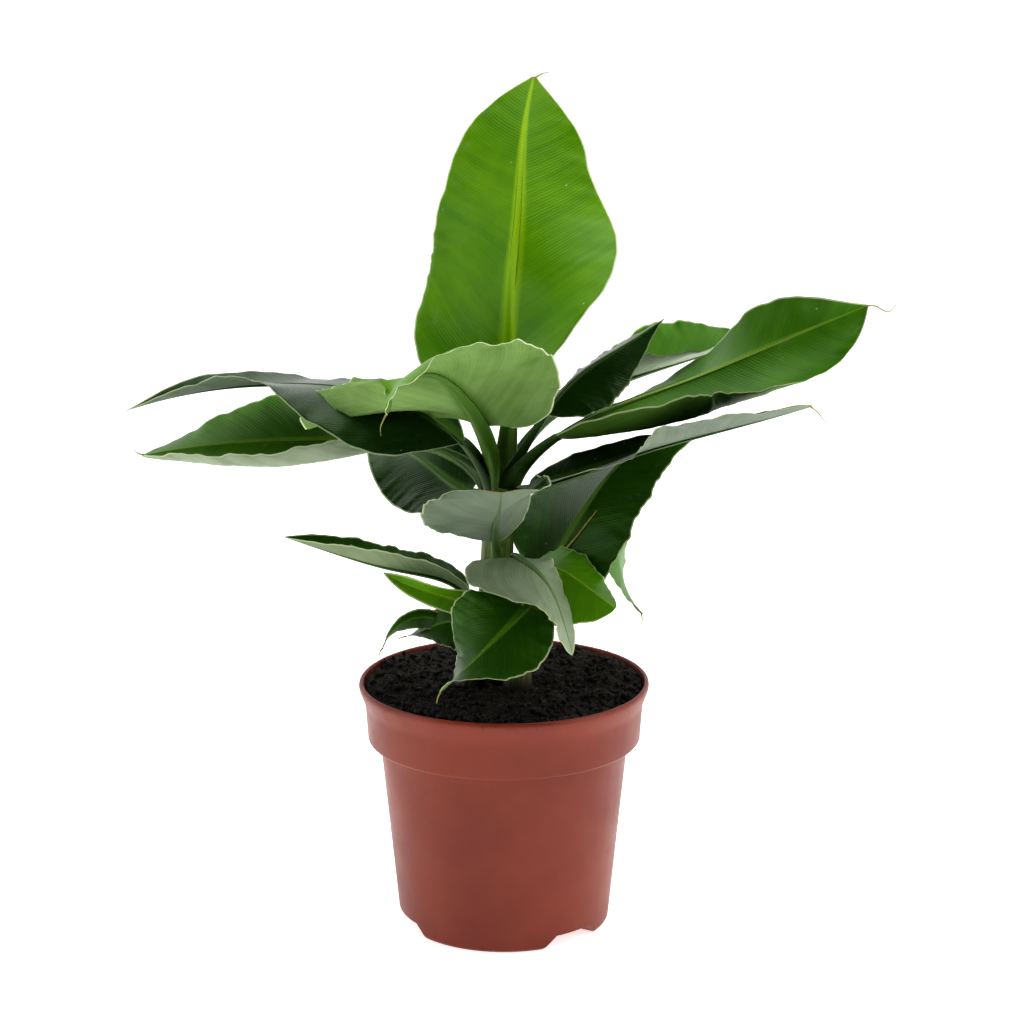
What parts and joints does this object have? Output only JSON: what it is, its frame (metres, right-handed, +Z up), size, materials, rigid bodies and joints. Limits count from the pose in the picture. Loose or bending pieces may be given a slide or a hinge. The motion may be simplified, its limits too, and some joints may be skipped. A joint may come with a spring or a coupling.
{
  "type": "potted banana plant",
  "caption": "Young banana plant with broad arching leaves on a short pseudostem, in a round plastic nursery pot.",
  "frame": {"origin": "centre of the pot's flat underside, where it meets the floor", "axes": "+Z up along the pot's axis, +X to the right and -Y toward the viewer of the front"},
  "size_m": [0.3043, 0.1563, 0.3438],
  "materials": {
    "pot_plastic": "semi-gloss moulded plastic, terracotta colour",
    "peat_compost": "rough fibrous peat",
    "pseudostem_tissue": "smooth waxy sheath",
    "leaf_stalk": "smooth waxy stalk",
    "leaf_blade": "glossy leaf, waxy underside"
  },
  "bodies": {
    "root": {"compost": "peat_compost", "leaf_01_crown_blade": "leaf_blade", "leaf_01_crown_petiole": "leaf_stalk", "leaf_02_front_blade": "leaf_blade", "leaf_02_front_petiole": "leaf_stalk", "leaf_03_long_left_blade": "leaf_blade", "leaf_03_long_left_petiole": "leaf_stalk", "leaf_04_left_blade": "leaf_blade", "leaf_04_left_petiole": "leaf_stalk", "leaf_05_back_left_blade": "leaf_blade", "leaf_05_back_left_petiole": "leaf_stalk", "leaf_06_small_front_blade": "leaf_blade", "leaf_06_small_front_petiole": "leaf_stalk", "leaf_07_back_right_blade": "leaf_blade", "leaf_07_back_right_petiole": "leaf_stalk", "leaf_08_far_right_blade": "leaf_blade", "leaf_08_far_right_petiole": "leaf_stalk", "leaf_09_big_right_blade": "leaf_blade", "leaf_09_big_right_petiole": "leaf_stalk", "leaf_10_narrow_right_blade": "leaf_blade", "leaf_10_narrow_right_petiole": "leaf_stalk", "leaf_11_right_low_blade": "leaf_blade", "leaf_11_right_low_petiole": "leaf_stalk", "leaf_12_behind_right_blade": "leaf_blade", "leaf_12_behind_right_petiole": "leaf_stalk", "leaf_13_low_right_blade": "leaf_blade", "leaf_13_low_right_petiole": "leaf_stalk", "leaf_14_turned_front_blade": "leaf_blade", "leaf_14_turned_front_petiole": "leaf_stalk", "leaf_15_low_front_blade": "leaf_blade", "leaf_15_low_front_petiole": "leaf_stalk", "leaf_16_low_left_blade": "leaf_blade", "leaf_16_low_left_petiole": "leaf_stalk", "leaf_17_small_left_blade": "leaf_blade", "leaf_17_small_left_petiole": "leaf_stalk", "leaf_18_drooping_left_blade": "leaf_blade", "leaf_18_drooping_left_petiole": "leaf_stalk", "leaf_19_brown_tipped_blade": "leaf_blade", "leaf_19_brown_tipped_petiole": "leaf_stalk", "pot": "pot_plastic", "pseudostem": "pseudostem_tissue", "sucker_left": "pseudostem_tissue", "sucker_right": "pseudostem_tissue"}
  },
  "joints": []
}
